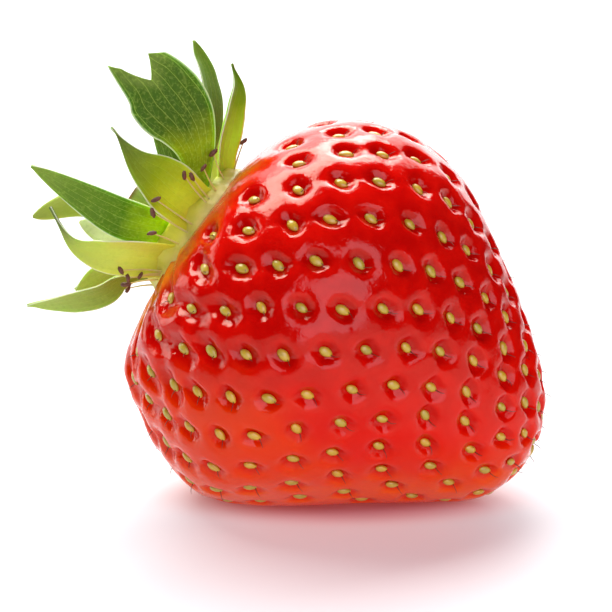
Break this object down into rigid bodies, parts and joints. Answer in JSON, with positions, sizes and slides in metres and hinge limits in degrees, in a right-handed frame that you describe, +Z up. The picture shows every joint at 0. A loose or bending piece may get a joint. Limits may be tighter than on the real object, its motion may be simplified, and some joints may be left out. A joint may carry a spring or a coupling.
{
  "type": "strawberry",
  "caption": "Whole ripe strawberry lying on its side: broad conical flesh, reflexed calyx of sepals and smaller bracts, dried stamens and a short cut stem.",
  "frame": {"origin": "middle of the fruit's box, on the surface it rests on", "axes": "+X along the longest side of the box, towards the tip; +Z up; the calyx is at -X and leans up"},
  "size_m": [0.0488, 0.0364, 0.0423],
  "materials": {
    "ripe_flesh": "glossy waxy skin, translucent, with a wet look; stands in for ripe fruit flesh",
    "pale_calyx": "satin pale green plant tissue, slightly downy",
    "stem_green": "satin green stem with a dry cut end",
    "sepal_green": "satin lime-green leaf, thin and translucent, with long veins",
    "bract_green": "matt dark green leaf with pale veins and a pale rim",
    "dry_stamen": "dry brown anther on a thin pale thread"
  },
  "bodies": {
    "root": {"flesh": "ripe_flesh", "calyx_cup": "pale_calyx", "stem": "stem_green", "sepal_1": "sepal_green", "sepal_2": "sepal_green", "sepal_3": "sepal_green", "sepal_4": "sepal_green", "sepal_5": "sepal_green", "sepal_6": "sepal_green", "bract_1": "bract_green", "bract_2": "bract_green", "bract_3": "bract_green", "bract_4": "bract_green", "bract_5": "bract_green", "bract_6": "bract_green", "stamen_01": "dry_stamen", "stamen_02": "dry_stamen", "stamen_03": "dry_stamen", "stamen_04": "dry_stamen", "stamen_05": "dry_stamen", "stamen_06": "dry_stamen", "stamen_07": "dry_stamen", "stamen_08": "dry_stamen", "stamen_09": "dry_stamen", "stamen_10": "dry_stamen", "stamen_11": "dry_stamen", "stamen_12": "dry_stamen", "stamen_13": "dry_stamen", "stamen_14": "dry_stamen", "stamen_15": "dry_stamen", "stamen_16": "dry_stamen", "stamen_17": "dry_stamen", "stamen_18": "dry_stamen"}
  },
  "joints": []
}
